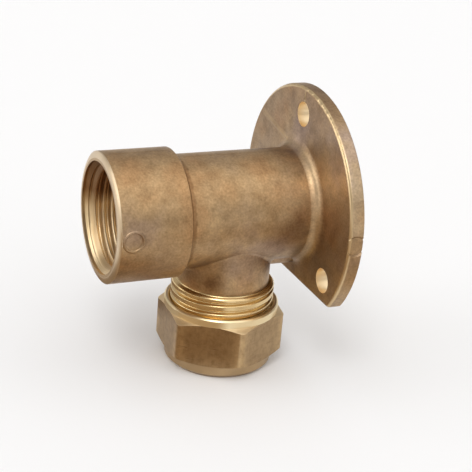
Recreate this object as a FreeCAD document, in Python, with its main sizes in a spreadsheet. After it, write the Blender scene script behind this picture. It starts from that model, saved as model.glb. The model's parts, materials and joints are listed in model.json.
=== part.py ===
"""A brass wall plate elbow for a 15 mm pipe, in millimetres.

The origin is the centre of the flange's back face, on the axis of the threaded
socket. The wall is the plane y = 0, the socket's mouth looks along -Y, and the
branch with its compression nut points down, along -Z.
"""

import FreeCAD, Part
import math
import os

import Sketcher

# Driving sizes: name, value, meaning. Lengths are millimetres and angles degrees.
SIZES = [
    ("flange_dia", 47.7, "round wall flange"),
    ("flange_thickness", 3.04, "wall flange"),
    ("flange_flat_to_barrel", 4.3, "flat that trims the flange, below the barrel"),
    ("flange_corner_round", 2.0, "corners where the flat meets the rim"),
    ("flange_front_round", 0.8, "front edge of the flange"),
    ("flange_back_bevel", 0.3, "back edge of the flange"),
    ("screw_hole_dia", 5.0, "three holes for wall screws"),
    ("screw_hole_to_rim", 5.35, "screw hole centre to the flange's rim"),
    ("screw_low_angle", 36.0, "lower screw holes, below the horizontal"),
    ("socket_thread_dia", 20.955, "female half inch pipe thread, at its outer diameter"),
    ("socket_thread_length", 14.0, "mouth to the end of the female thread"),
    ("thread_height", 1.162, "half inch pipe thread, root to crest"),
    ("socket_wall", 2.2725, "female thread to the outside of the socket"),
    ("socket_length", 14.6, "thickened end along the main axis"),
    ("socket_step", 1.55, "socket stands proud of the barrel"),
    ("socket_step_bevel", 0.45, "both edges of the step behind the socket"),
    ("socket_lip_bevel", 0.4, "outer edge of the mouth"),
    ("mouth_countersink", 0.42, "countersink wider than the female thread, on the radius"),
    ("mouth_counterbore", 0.6, "straight start of the mouth, in front of the countersink"),
    ("barrel_root_round", 2.2, "fillet where the barrel meets the flange"),
    ("drill_half_angle", 59.0, "cone left by the drill's point"),
    ("neck_to_flange", 1.66, "plain barrel between the fillets of flange and neck"),
    ("neck_to_socket", 1.7, "plain barrel between the neck's fillet and the socket"),
    ("web_width", 6.0, "web under the barrel, between neck and flange"),
    ("web_drop", 1.2, "that web below the barrel"),
    ("web_bevel", 0.7, "lower edges of that web"),
    ("neck_length", 4.1, "neck of the branch, barrel to male thread"),
    ("neck_step", 1.1775, "male thread stands proud of the neck"),
    ("neck_root_round", 1.3, "saddle fillet between neck and barrel"),
    ("branch_wall", 2.8775, "pipe bore to the outside of the male thread"),
    ("branch_thread_length", 10.5, "male thread along the branch"),
    ("thread_start_chamfer", 0.45, "upper edge of the male thread"),
    ("thread_end_chamfer", 0.8, "lower edge of the male thread"),
    ("pipe_dia", 15.0, "pipe that the branch takes"),
    ("pipe_clearance", 0.1, "round the pipe, on the radius"),
    ("pipe_socket_depth", 12.2, "end of the branch up to the shoulder that stops the pipe"),
    ("pipe_stop_step", 1.1, "width of that shoulder"),
    ("seat_half_angle", 30.0, "cones that squeeze the ring, from their axis"),
    ("seat_width", 1.3, "cone in the branch, on the radius"),
    ("seat_gap", 0.12, "ring to each cone when hand tight"),
    ("ring_wall", 1.25, "compression ring at its middle"),
    ("ring_end_wall", 0.35, "compression ring at each end"),
    ("ring_land", 2.0, "straight middle of the ring"),
    ("nut_thread_clearance", 0.07, "male thread to the nut's bore, on the radius"),
    ("nut_wall", 0.9525, "nut's bore to its flats"),
    ("nut_turn", -2.15, "one corner of the hexagon, from +X about the branch axis"),
    ("nut_corner_round", 1.5, "upright edges of the hexagon"),
    ("thread_shown", 4.25, "male thread left bare above the nut"),
    ("nut_top_collar_proud", 0.15, "upper collar stands proud of the flats"),
    ("nut_top_collar_height", 1.65, "turned collar above the hexagon"),
    ("nut_top_chamfer_angle", 25.0, "slope on the hexagon's upper corners"),
    ("nut_top_bevel", 0.3, "outer edge of the upper collar"),
    ("nut_end_step", 0.5, "flats down to the lower collar"),
    ("nut_end_collar_height", 2.6, "turned collar below the hexagon"),
    ("nut_end_chamfer_angle", 25.0, "slope on the hexagon's lower corners"),
    ("nut_end_bevel", 0.9, "outer edge of the lower collar"),
    ("nut_end_wall", 2.54, "nut's inner cone to its end"),
    ("nut_thread_countersink", 0.35, "inner edge at the top of the nut"),
    ("nut_cone_relief", 0.21, "nut's cone wider than the ring, on the radius"),
    ("die_mark_dia", 4.0, "round flats that the forging die leaves"),
    ("die_mark_depth", 0.3, "round flats that the forging die leaves"),
    ("socket_mark_to_mouth", 2.55, "die mark on the socket, centre to mouth"),
]

DOCUMENT = FreeCAD.newDocument("wall_plate_elbow")
SHEET = DOCUMENT.addObject("Spreadsheet::Sheet", "dims")
for row, (alias, value, meaning) in enumerate(SIZES, start=1):
    SHEET.set(f"A{row}", alias)
    SHEET.set(f"B{row}", str(value))
    SHEET.set(f"C{row}", meaning)
    SHEET.setAlias(f"B{row}", alias)
DOCUMENT.recompute()

# Radii that follow from the driving sizes
FLANGE_R = "(dims.flange_dia / 2)"
SCREW_CIRCLE_R = f"({FLANGE_R} - dims.screw_hole_to_rim)"
SOCKET_THREAD_R = "(dims.socket_thread_dia / 2)"
SOCKET_CORE_R = f"({SOCKET_THREAD_R} - dims.thread_height)"
SOCKET_R = f"({SOCKET_THREAD_R} + dims.socket_wall)"
MOUTH_R = f"({SOCKET_THREAD_R} + dims.mouth_countersink)"
BARREL_R = f"({SOCKET_R} - dims.socket_step)"
PIPE_BORE_R = "(dims.pipe_dia / 2 + dims.pipe_clearance)"
WATERWAY_R = f"({PIPE_BORE_R} - dims.pipe_stop_step)"
BRANCH_THREAD_R = f"({PIPE_BORE_R} + dims.branch_wall)"
NECK_R = f"({BRANCH_THREAD_R} - dims.neck_step)"
SEAT_MOUTH_R = f"({PIPE_BORE_R} + dims.seat_width)"
RING_R = f"({PIPE_BORE_R} + dims.ring_wall)"
RING_END_R = f"({PIPE_BORE_R} + dims.ring_end_wall)"
NUT_BORE_R = f"({BRANCH_THREAD_R} + dims.nut_thread_clearance)"
NUT_FLAT_R = f"({NUT_BORE_R} + dims.nut_wall)"
NUT_CORNER_R = f"({NUT_FLAT_R} / cos(30 deg))"
NUT_TOP_COLLAR_R = f"({NUT_FLAT_R} + dims.nut_top_collar_proud)"
NUT_END_COLLAR_R = f"({NUT_FLAT_R} - dims.nut_end_step)"

# Distances in front of the wall
NECK_REACH = f"({NECK_R} + dims.neck_root_round)"
BRANCH_TO_WALL = f"(dims.flange_thickness + dims.barrel_root_round + dims.neck_to_flange + {NECK_REACH})"
SOCKET_BACK = f"({BRANCH_TO_WALL} + {NECK_REACH} + dims.neck_to_socket)"
BODY_LENGTH = f"({SOCKET_BACK} + dims.socket_length)"
SOCKET_THREAD_END = f"({BODY_LENGTH} - dims.socket_thread_length)"
MOUTH_DEPTH = f"({MOUTH_R} - {SOCKET_CORE_R})"
DRILL_SLOPE = "tan(dims.drill_half_angle * 1 deg)"
SOCKET_DRILL_CONE = f"(({SOCKET_CORE_R} - {WATERWAY_R}) / {DRILL_SLOPE})"
WATERWAY_DRILL_CONE = f"({WATERWAY_R} / {DRILL_SLOPE})"

# Depths below the main axis
FLAT_DROP = f"({BARREL_R} + dims.flange_flat_to_barrel)"
WEB_TOP = f"(({WATERWAY_R} + {BARREL_R}) / 2)"
WEB_DROP = f"({BARREL_R} + dims.web_drop)"
THREAD_START_DROP = f"({BARREL_R} + dims.neck_length)"
BRANCH_DROP = f"({THREAD_START_DROP} + dims.branch_thread_length)"
PIPE_STOP_DROP = f"({BRANCH_DROP} - dims.pipe_socket_depth)"
SEAT_SLOPE = "tan(dims.seat_half_angle * 1 deg)"
SEAT_DEPTH = f"(dims.seat_width / {SEAT_SLOPE})"
SEAT_RADIAL_GAP = "(dims.seat_gap / cos(dims.seat_half_angle * 1 deg))"
RING_TAPER = f"((dims.ring_wall - dims.ring_end_wall) / {SEAT_SLOPE})"
RING_LAND_DROP = f"({BRANCH_DROP} + ({SEAT_RADIAL_GAP} + dims.ring_wall - dims.seat_width) / {SEAT_SLOPE})"
RING_LAND_END = f"({RING_LAND_DROP} + dims.ring_land)"
NUT_CONE_TOP = f"({RING_LAND_END} - dims.nut_cone_relief / {SEAT_SLOPE})"
NUT_CONE_END = f"({RING_LAND_END} + (dims.ring_wall + {SEAT_RADIAL_GAP}) / {SEAT_SLOPE})"
NUT_TOP_DROP = f"({THREAD_START_DROP} + dims.thread_shown)"
NUT_END_DROP = f"({NUT_CONE_END} + dims.nut_end_wall)"


def size(expression):
    """The present value of a size written in terms of the driving ones."""
    return float(SHEET.evalExpression(expression.replace("dims.", "")))


def plane_of(body, role):
    """One of a body's own origin planes."""
    return next(plane for plane in body.Origin.OriginFeatures if plane.Role == role)


def new_sketch(body, name, role, offset=("0", "0", "0")):
    """A sketch on an origin plane of its body, moved by offset in the plane's own directions."""
    sketch = body.newObject("Sketcher::SketchObject", name)
    sketch.AttachmentSupport = (plane_of(body, role), [""])
    sketch.MapMode = "FlatFace"
    for direction, distance in zip("xyz", offset):
        if distance != "0":
            sketch.setExpression(f"AttachmentOffset.Base.{direction}", distance)
    return sketch


def pin_point(sketch, geometry, point, place):
    """Ties one point of a sketch to a place given by two expressions."""
    for direction, other_axis, expression in zip("XY", (-2, -1), place):
        if expression == "0":
            sketch.addConstraint(Sketcher.Constraint("PointOnObject", geometry, point, other_axis))
            continue
        value = size(expression)
        ends = (-1, 1, geometry, point) if value > 0 else (geometry, point, -1, 1)
        signed = expression if value > 0 else f"-({expression})"
        index = sketch.addConstraint(Sketcher.Constraint(f"Distance{direction}", *ends, abs(value)))
        sketch.setExpression(f"Constraints[{index}]", signed)


def draw_outline(sketch, corners):
    """A closed outline of straight lines through corners given by expressions."""
    points = [FreeCAD.Vector(size(across), size(up), 0) for across, up in corners]
    count = len(points)
    for index, point in enumerate(points):
        sketch.addGeometry(Part.LineSegment(point, points[(index + 1) % count]), False)
    for index in range(count):
        sketch.addConstraint(Sketcher.Constraint("Coincident", index, 2, (index + 1) % count, 1))
    for index, corner in enumerate(corners):
        pin_point(sketch, index, 1, corner)


def draw_circle(sketch, centre, diameter):
    """A circle whose centre and diameter are expressions."""
    place = FreeCAD.Vector(*(size(expression) for expression in centre), 0)
    index = sketch.addGeometry(Part.Circle(place, FreeCAD.Vector(0, 0, 1), size(diameter) / 2), False)
    bound = sketch.addConstraint(Sketcher.Constraint("Diameter", index, size(diameter)))
    sketch.setExpression(f"Constraints[{bound}]", diameter)
    pin_point(sketch, index, 3, centre)


def turn(body, kind, name, corners, axis="V_Axis", offset=("0", "0", "0")):
    """Adds or cuts a turned form: an outline in the YZ plane, spun about one of the sketch's axes."""
    sketch = new_sketch(body, f"{name}_outline", "YZ_Plane", offset)
    draw_outline(sketch, corners)
    feature = body.newObject(f"PartDesign::{kind}", name)
    feature.Profile = sketch
    feature.ReferenceAxis = (sketch, [axis])
    feature.Angle = 360
    DOCUMENT.recompute()
    return feature


def turn_on_branch(body, kind, name, corners):
    """A turned form about the branch axis: corners are radius and height."""
    return turn(body, kind, name, corners, "V_Axis", (f"-{BRANCH_TO_WALL}", "0", "0"))


def cut_along(body, name, sketch, length):
    """Cuts a sketch's outline towards the side that its plane faces."""
    pocket = body.newObject("PartDesign::Pocket", name)
    pocket.Profile = sketch
    pocket.Reversed = True
    pocket.setExpression("Length", length)
    DOCUMENT.recompute()
    return pocket


def soften(body, kind, name, amount, chosen):
    """Rounds or bevels the edges of the body for which chosen(edge) is true."""
    base = body.Tip
    names = [f"Edge{index}" for index, edge in enumerate(base.Shape.Edges, start=1) if chosen(edge)]
    if not names:
        raise RuntimeError(f"{name}: no edge found")
    feature = body.newObject(f"PartDesign::{kind}", name)
    feature.Base = (base, names)
    feature.setExpression("Radius" if kind == "Fillet" else "Size", amount)
    DOCUMENT.recompute()
    return feature


def near(first, second):
    return math.isclose(first, second, abs_tol=1e-4)


def samples(edge, count=5):
    """Points spread along an edge, ends included."""
    first, last = edge.ParameterRange
    return [edge.valueAt(first + (last - first) * step / (count - 1)) for step in range(count)]


def from_main_axis(point):
    return math.hypot(point.x, point.z)


def from_branch_axis(point):
    return math.hypot(point.x, point.y + size(BRANCH_TO_WALL))


def main_ring(radius, distance):
    """Tells the edges that run round the main axis at a distance from the wall."""
    wanted_r = size(radius)
    wanted_y = -size(distance)
    return lambda edge: all(
        near(from_main_axis(point), wanted_r) and near(point.y, wanted_y) for point in samples(edge)
    )


def branch_ring(radius, drop):
    """Tells the edges that run round the branch axis at a depth below the main axis."""
    wanted_r = size(radius)
    wanted_z = -size(drop)
    return lambda edge: all(
        near(from_branch_axis(point), wanted_r) and near(point.z, wanted_z) for point in samples(edge)
    )


def saddle(edge):
    """Tells the edges where the neck runs into the barrel."""
    return all(
        near(from_main_axis(point), size(BARREL_R))
        and near(from_branch_axis(point), size(NECK_R))
        for point in samples(edge)
    )


def flange_corner(edge):
    """Tells the short edges where the flange's flat meets its rim."""
    return all(
        near(from_main_axis(point), size(FLANGE_R))
        and near(point.z, -size(FLAT_DROP))
        for point in samples(edge)
    )


def flange_outline(distance):
    """Tells the edges round the outside of the flange at a distance from the wall."""
    wanted_y = -size(distance)
    inside = size(f"{SCREW_CIRCLE_R} + dims.screw_hole_dia / 2")

    def chosen(edge):
        points = samples(edge)
        level = all(near(point.y, wanted_y) for point in points)
        outer = all(from_main_axis(point) > inside for point in points)
        flat = all(near(point.z, -size(FLAT_DROP)) for point in points)
        return level and (outer or flat)

    return chosen


def upright(edge):
    """Tells straight edges along Z."""
    direction = edge.Vertexes[-1].Point - edge.Vertexes[0].Point
    return near(direction.x, 0) and near(direction.y, 0) and direction.Length > 0


def make_body():
    """The forged body: flange, barrel, socket and branch in one piece."""
    body = DOCUMENT.addObject("PartDesign::Body", "elbow_body")
    flange_face = "-dims.flange_thickness"
    socket_back = f"-{SOCKET_BACK}"
    mouth = f"-{BODY_LENGTH}"

    turn(body, "Revolution", "flange_barrel_socket", [
        ("0", "0"),
        ("0", FLANGE_R),
        (flange_face, FLANGE_R),
        (flange_face, BARREL_R),
        (socket_back, BARREL_R),
        (socket_back, SOCKET_R),
        (mouth, SOCKET_R),
        (mouth, "0"),
    ], axis="H_Axis")

    trim = new_sketch(body, "flange_flat_outline", "XZ_Plane")
    draw_outline(trim, [
        ("-dims.flange_dia", f"-{FLAT_DROP}"),
        ("-dims.flange_dia", "-dims.flange_dia"),
        ("dims.flange_dia", "-dims.flange_dia"),
        ("dims.flange_dia", f"-{FLAT_DROP}"),
    ])
    cut_along(body, "flange_flat", trim, "dims.flange_thickness")

    turn_on_branch(body, "Revolution", "branch", [
        ("0", "0"),
        (NECK_R, "0"),
        (NECK_R, f"-{THREAD_START_DROP}"),
        (BRANCH_THREAD_R, f"-{THREAD_START_DROP}"),
        (BRANCH_THREAD_R, f"-{BRANCH_DROP}"),
        ("0", f"-{BRANCH_DROP}"),
    ])

    soften(body, "Fillet", "neck_root", "dims.neck_root_round", saddle)
    soften(body, "Fillet", "barrel_root", "dims.barrel_root_round",
           main_ring(BARREL_R, "dims.flange_thickness"))

    half_web = "dims.web_width / 2"
    section = new_sketch(body, "web_section", "XZ_Plane", ("0", "0", "dims.flange_thickness / 2"))
    draw_outline(section, [
        (f"-{half_web}", f"-{WEB_TOP}"),
        (f"-{half_web}", f"-{WEB_DROP} + dims.web_bevel"),
        (f"-{half_web} + dims.web_bevel", f"-{WEB_DROP}"),
        (f"{half_web} - dims.web_bevel", f"-{WEB_DROP}"),
        (half_web, f"-{WEB_DROP} + dims.web_bevel"),
        (half_web, f"-{WEB_TOP}"),
    ])
    web = body.newObject("PartDesign::Pad", "flange_web")
    web.Profile = section
    web.setExpression("Length", f"{BRANCH_TO_WALL} - dims.flange_thickness / 2")
    DOCUMENT.recompute()

    soften(body, "Chamfer", "socket_step_root", "dims.socket_step_bevel",
           main_ring(BARREL_R, SOCKET_BACK))
    soften(body, "Chamfer", "socket_step_edge", "dims.socket_step_bevel",
           main_ring(SOCKET_R, SOCKET_BACK))
    soften(body, "Chamfer", "socket_lip", "dims.socket_lip_bevel",
           main_ring(SOCKET_R, BODY_LENGTH))
    soften(body, "Fillet", "flange_corners", "dims.flange_corner_round", flange_corner)
    soften(body, "Fillet", "flange_front_edge", "dims.flange_front_round",
           flange_outline("dims.flange_thickness"))
    soften(body, "Chamfer", "flange_back_edge", "dims.flange_back_bevel", flange_outline("0"))
    soften(body, "Chamfer", "thread_start", "dims.thread_start_chamfer",
           branch_ring(BRANCH_THREAD_R, THREAD_START_DROP))
    soften(body, "Chamfer", "thread_end", "dims.thread_end_chamfer",
           branch_ring(BRANCH_THREAD_R, BRANCH_DROP))

    turn(body, "Groove", "socket_bore", [
        (mouth, "0"),
        (mouth, MOUTH_R),
        (f"{mouth} + dims.mouth_counterbore", MOUTH_R),
        (f"{mouth} + dims.mouth_counterbore + {MOUTH_DEPTH}", SOCKET_CORE_R),
        (f"-{SOCKET_THREAD_END}", SOCKET_CORE_R),
        (f"-{SOCKET_THREAD_END} + {SOCKET_DRILL_CONE}", WATERWAY_R),
        (f"-{BRANCH_TO_WALL}", WATERWAY_R),
        (f"-{BRANCH_TO_WALL} + {WATERWAY_DRILL_CONE}", "0"),
    ], axis="H_Axis")

    turn_on_branch(body, "Groove", "branch_bore", [
        ("0", "0"),
        (WATERWAY_R, "0"),
        (WATERWAY_R, f"-{PIPE_STOP_DROP}"),
        (PIPE_BORE_R, f"-{PIPE_STOP_DROP}"),
        (PIPE_BORE_R, f"-{BRANCH_DROP} + {SEAT_DEPTH}"),
        (SEAT_MOUTH_R, f"-{BRANCH_DROP}"),
        ("0", f"-{BRANCH_DROP}"),
    ])

    screws = new_sketch(body, "screw_hole_circles", "XZ_Plane")
    low_across = f"{SCREW_CIRCLE_R} * cos(dims.screw_low_angle * 1 deg)"
    low_drop = f"{SCREW_CIRCLE_R} * sin(dims.screw_low_angle * 1 deg)"
    draw_circle(screws, ("0", SCREW_CIRCLE_R), "dims.screw_hole_dia")
    for side in ("", "-"):
        draw_circle(screws, (f"{side}{low_across}", f"-{low_drop}"), "dims.screw_hole_dia")
    cut_along(body, "screw_holes", screws, "dims.flange_thickness")

    marks = [
        ("socket_die_mark", SOCKET_R, f"{mouth} + dims.socket_mark_to_mouth"),
        ("rim_die_mark", FLANGE_R, "-dims.flange_thickness / 2"),
    ]
    for name, radius, along in marks:
        sketch = new_sketch(body, f"{name}_circle", "YZ_Plane", ("0", "0", f"{radius} - dims.die_mark_depth"))
        draw_circle(sketch, (along, "0"), "dims.die_mark_dia")
        cut_along(body, name, sketch, "2 * dims.die_mark_depth")
    return body


def make_ring():
    """The compression ring: a short sleeve, tapered at both ends."""
    body = DOCUMENT.addObject("PartDesign::Body", "compression_ring")
    land_top = f"-{RING_LAND_DROP}"
    land_end = f"-{RING_LAND_END}"
    turn_on_branch(body, "Revolution", "ring", [
        (PIPE_BORE_R, f"{land_top} + {RING_TAPER}"),
        (RING_END_R, f"{land_top} + {RING_TAPER}"),
        (RING_R, land_top),
        (RING_R, land_end),
        (RING_END_R, f"{land_end} - {RING_TAPER}"),
        (PIPE_BORE_R, f"{land_end} - {RING_TAPER}"),
    ])
    return body


def make_nut():
    """The compression nut: a hexagon between two round collars, with a cone inside."""
    body = DOCUMENT.addObject("PartDesign::Body", "compression_nut")
    hexagon = new_sketch(body, "hexagon", "XY_Plane", ("0", f"-{BRANCH_TO_WALL}", f"-{NUT_END_DROP}"))
    corner_angles = [f"((dims.nut_turn + {60 * corner}) * 1 deg)" for corner in range(6)]
    draw_outline(hexagon, [
        (f"{NUT_CORNER_R} * cos{angle}", f"{NUT_CORNER_R} * sin{angle}") for angle in corner_angles
    ])
    blank = body.newObject("PartDesign::Pad", "hexagon_bar")
    blank.Profile = hexagon
    blank.setExpression("Length", f"{NUT_END_DROP} - {NUT_TOP_DROP} - dims.nut_top_collar_height")
    DOCUMENT.recompute()
    soften(body, "Fillet", "hexagon_corners", "dims.nut_corner_round", upright)

    top = f"-{NUT_TOP_DROP}"
    end = f"-{NUT_END_DROP}"
    collar_end = f"{top} - dims.nut_top_collar_height"
    end_collar_top = f"{end} + dims.nut_end_collar_height"
    top_slope = f"({NUT_CORNER_R} - {NUT_TOP_COLLAR_R}) * tan(dims.nut_top_chamfer_angle * 1 deg)"
    end_slope = f"({NUT_CORNER_R} - {NUT_END_COLLAR_R}) * tan(dims.nut_end_chamfer_angle * 1 deg)"
    turn_on_branch(body, "Groove", "top_corners", [
        (NUT_TOP_COLLAR_R, collar_end),
        (NUT_CORNER_R, f"{collar_end} - {top_slope}"),
        (NUT_CORNER_R, collar_end),
    ])
    turn_on_branch(body, "Revolution", "top_collar", [
        ("0", top),
        (f"{NUT_TOP_COLLAR_R} - dims.nut_top_bevel", top),
        (NUT_TOP_COLLAR_R, f"{top} - dims.nut_top_bevel"),
        (NUT_TOP_COLLAR_R, collar_end),
        ("0", collar_end),
    ])
    turn_on_branch(body, "Groove", "end_collar", [
        (f"{NUT_END_COLLAR_R} - dims.nut_end_bevel", end),
        (NUT_END_COLLAR_R, f"{end} + dims.nut_end_bevel"),
        (NUT_END_COLLAR_R, end_collar_top),
        (NUT_CORNER_R, f"{end_collar_top} + {end_slope}"),
        (NUT_CORNER_R, end),
    ])

    turn_on_branch(body, "Groove", "thread_bore_and_cone", [
        ("0", top),
        (f"{NUT_BORE_R} + dims.nut_thread_countersink", top),
        (NUT_BORE_R, f"{top} - dims.nut_thread_countersink"),
        (NUT_BORE_R, f"-{NUT_CONE_TOP}"),
        (f"{RING_R} + {SEAT_RADIAL_GAP} + dims.nut_cone_relief", f"-{NUT_CONE_TOP}"),
        (PIPE_BORE_R, f"-{NUT_CONE_END}"),
        (PIPE_BORE_R, end),
        ("0", end),
    ])
    return body


def check(pieces):
    """Stops if any object failed, or if a piece isn't one sound solid."""
    for item in DOCUMENT.Objects:
        if "Invalid" in item.State or "Error" in item.State:
            raise RuntimeError(f"{item.Name} failed: {item.State}")
    for piece in pieces:
        if piece.Shape.isNull() or not piece.Shape.isValid() or len(piece.Shape.Solids) != 1:
            raise RuntimeError(f"{piece.Label} isn't one valid solid")


PIECES = [make_body(), make_ring(), make_nut()]
DOCUMENT.recompute()
check(PIECES)
os.makedirs("parts", exist_ok=True)
for piece in PIECES:
    piece.Shape.exportStep(f"parts/{piece.Label}.step")
    centre = piece.Shape.CenterOfGravity
    print(f"{piece.Label}: {piece.Shape.Volume:.1f} mm3, centre at {centre.y:.2f}, {centre.z:.2f} in y, z")
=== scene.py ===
# %% [markdown]
# # A brass wall plate elbow
#
# This lesson dresses a plumbing fitting for its picture. The fitting is a forged brass
# elbow with a wall flange, a threaded socket and a branch that ends in a compression nut.
# Its solids come from the CAD frame at their real size, in metres. Blender adds what the
# solids leave out: the screw threads, the marks of the forging die, the softened edges and
# the finish of each surface.

# %% Load the frame
import json
import math

import bmesh
import bpy
from mathutils import Matrix, Vector, noise


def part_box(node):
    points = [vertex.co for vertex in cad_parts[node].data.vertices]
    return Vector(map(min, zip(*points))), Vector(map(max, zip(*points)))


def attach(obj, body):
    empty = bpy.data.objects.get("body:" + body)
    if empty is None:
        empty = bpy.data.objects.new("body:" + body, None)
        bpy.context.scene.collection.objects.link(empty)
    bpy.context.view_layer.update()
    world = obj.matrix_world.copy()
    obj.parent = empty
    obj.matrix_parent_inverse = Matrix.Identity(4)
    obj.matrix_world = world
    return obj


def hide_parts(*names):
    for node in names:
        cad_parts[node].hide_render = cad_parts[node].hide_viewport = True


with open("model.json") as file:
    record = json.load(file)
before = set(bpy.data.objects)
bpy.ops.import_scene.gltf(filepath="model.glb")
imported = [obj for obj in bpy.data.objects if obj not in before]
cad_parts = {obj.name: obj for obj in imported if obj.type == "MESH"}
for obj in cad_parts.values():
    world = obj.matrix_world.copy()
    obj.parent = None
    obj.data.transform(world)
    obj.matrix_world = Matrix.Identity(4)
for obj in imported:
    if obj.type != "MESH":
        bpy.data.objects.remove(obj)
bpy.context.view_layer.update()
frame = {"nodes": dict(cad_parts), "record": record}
print("nodes:", sorted(frame["nodes"]))

# %% [markdown]
# ## Where things are
#
# Two axes rule this fitting. The main axis runs along Y through flange, barrel and socket,
# and the branch axis runs down along Z. Every later step measures from them, so they are
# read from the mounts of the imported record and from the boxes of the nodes, and nothing is
# typed twice.

# %% The two axes and the main levels
MM = 0.001
mounts = {mount["name"]: mount for mount in frame["record"]["mounts"]}
body_low, body_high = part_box("elbow_body")
nut_low, nut_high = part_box("compression_nut")

BRANCH_Y = mounts["pipe_entry"]["pos_m"][1]
MOUTH_Y = body_low.y
BRANCH_END_Z = body_low.z
FLANGE_R = body_high.z
FLOOR_Z = nut_low.z
CORE_R = mounts["socket_thread"]["dims"]["r_mm"] * MM
CORE_LENGTH = mounts["socket_thread"]["dims"]["length_mm"] * MM
FLANGE_FACE_Y = 2 * mounts["top_screw"]["pos_m"][1]
MAIN_CENTRE, MAIN_AXIS = (0.0, 0.0, 0.0), (0.0, 1.0, 0.0)
BRANCH_CENTRE, BRANCH_AXIS = (0.0, BRANCH_Y, 0.0), (0.0, 0.0, 1.0)
print(f"branch axis at y = {BRANCH_Y / MM:.2f} mm, mouth at {MOUTH_Y / MM:.2f} mm")


def from_main_axis(point):
    return math.hypot(point.x, point.z)


def from_branch_axis(point):
    return math.hypot(point.x, point.y - BRANCH_Y)


# %% [markdown]
# ## The camera
#
# A likeness starts with the right view. Azimuth, elevation, roll and distance were fitted
# to the outlines of flange, socket and nut, so the camera is built from those angles and
# not aimed by eye. The lens follows from the focal length in pixels, because the picture
# is square and the sensor is as wide as the picture.

# %% The camera at the photograph's view
AZIMUTH = math.radians(64.874)
ELEVATION = math.radians(22.892)
ROLL = math.radians(4.949)
DISTANCE = 0.251904
AIM = Vector((0, -0.015365, -0.006491))
FOCAL_PIXELS = 1253.737
PICTURE_PIXELS = 472
SENSOR = 36.0
# Nearest and farthest point seen, in distances of the camera
CLIP_NEAR, CLIP_FAR = 0.02, 400


def direction(azimuth, elevation):
    """A unit vector towards an azimuth, counted from -Y, and an elevation."""
    level = math.cos(elevation)
    return Vector((math.sin(azimuth) * level, -math.cos(azimuth) * level, math.sin(elevation)))


back = direction(AZIMUTH, ELEVATION)
level_right = Vector((math.cos(AZIMUTH), math.sin(AZIMUTH), 0))
level_up = back.cross(level_right)
right = level_right * math.cos(ROLL) + level_up * math.sin(ROLL)
up = level_up * math.cos(ROLL) - level_right * math.sin(ROLL)

lens = bpy.data.cameras.new("camera")
lens.sensor_width = SENSOR
lens.lens = SENSOR * FOCAL_PIXELS / PICTURE_PIXELS
lens.clip_start = DISTANCE * CLIP_NEAR
lens.clip_end = DISTANCE * CLIP_FAR
camera = bpy.data.objects.new("camera", lens)
bpy.context.scene.collection.objects.link(camera)
view_axes = Matrix((right, up, back)).transposed().to_4x4()
camera.matrix_world = Matrix.Translation(AIM + back * DISTANCE) @ view_axes
bpy.context.scene.camera = camera
bpy.context.scene.view_settings.view_transform = "Standard"
print(f"lens {lens.lens:.1f} mm, camera at {[round(x, 4) for x in camera.location]}")

# %% [markdown]
# ## Nodes in one line
#
# A shader is a graph of small nodes, and building it by hand takes many lines. The first
# helper adds one node, sets its options, and fills its inputs: a plain value is typed into
# the socket, and another node's output is linked to it. The other three make the kinds of
# node that come up most: a blend of two colours, a ramp along a value, and vector maths.

# %% Helpers for shader nodes
def node(tree, kind, inputs, **options):
    """Adds a shader node with its options and with the values or links of its inputs."""
    made = tree.nodes.new(kind)
    for name, value in options.items():
        setattr(made, name, value)
    for name, value in inputs.items():
        if isinstance(value, bpy.types.NodeSocket):
            tree.links.new(value, made.inputs[name])
        else:
            made.inputs[name].default_value = value
    return made


def mixed(tree, factor, first, second, blend="MIX"):
    """One colour turned into another by a factor, or blended with it in another way."""
    made = node(tree, "ShaderNodeMix", {0: factor, 6: first, 7: second}, data_type="RGBA", blend_type=blend)
    return made.outputs[2]


def ramped(tree, value, zero_at, one_at, interpolation="LINEAR"):
    """A factor that goes from 0 to 1 while a value goes between two limits."""
    inputs = {"Value": value, "From Min": zero_at, "From Max": one_at}
    made = node(tree, "ShaderNodeMapRange", inputs, interpolation_type=interpolation)
    return made.outputs["Result"]


def vector_math(tree, operation, first, second=(0.0, 0.0, 0.0), result="Vector"):
    """Maths on one or two vectors, whose result is a vector or a value."""
    made = node(tree, "ShaderNodeVectorMath", {0: first, 1: second}, operation=operation)
    return made.outputs[result]


# %% [markdown]
# ## Floor and sky
#
# The fitting stands on the end of its nut, on a white floor. A white floor at a plain light
# level gives the white ground of a catalogue picture and still takes the shadow. Metal shows
# what is round it, so an even white room would leave it flat. The sky is a soft grey that
# grows paler overhead, which shades every curve from top to bottom. A thin white band at
# the horizon stands for a low wall at the end of the floor, so that a low camera still
# sees white behind the fitting.

# %% Floor and sky
FLOOR_HALF = 40.0
FLOOR_WHITE = (0.88, 0.88, 0.88, 1)
SKY_HORIZON = (0.38, 0.35, 0.32, 1)
SKY_TOP = (0.74, 0.74, 0.75, 1)
WALL_WHITE = (0.96, 0.96, 0.96, 1)
WALL_FULL, WALL_END = 0.06, 0.12


def sheet_on_floor(name, outline, colour):
    """A flat matt sheet that belongs to the studio and not to the fitting."""
    mesh = bpy.data.meshes.new(name)
    mesh.from_pydata(outline, [], [tuple(range(len(outline)))])
    sheet = bpy.data.objects.new(name, mesh)
    bpy.context.scene.collection.objects.link(sheet)
    paint = bpy.data.materials.new(f"{name}_paint")
    paint.use_nodes = True
    shader = paint.node_tree.nodes["Principled BSDF"]
    shader.inputs["Base Color"].default_value = colour
    shader.inputs["Roughness"].default_value = 1.0
    shader.inputs["Specular IOR Level"].default_value = 0.0
    mesh.materials.append(paint)
    return sheet


floor_corners = ((-1, -1), (1, -1), (1, 1), (-1, 1))
sheet_on_floor("floor", [(x * FLOOR_HALF, y * FLOOR_HALF, FLOOR_Z) for x, y in floor_corners], FLOOR_WHITE)

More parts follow.
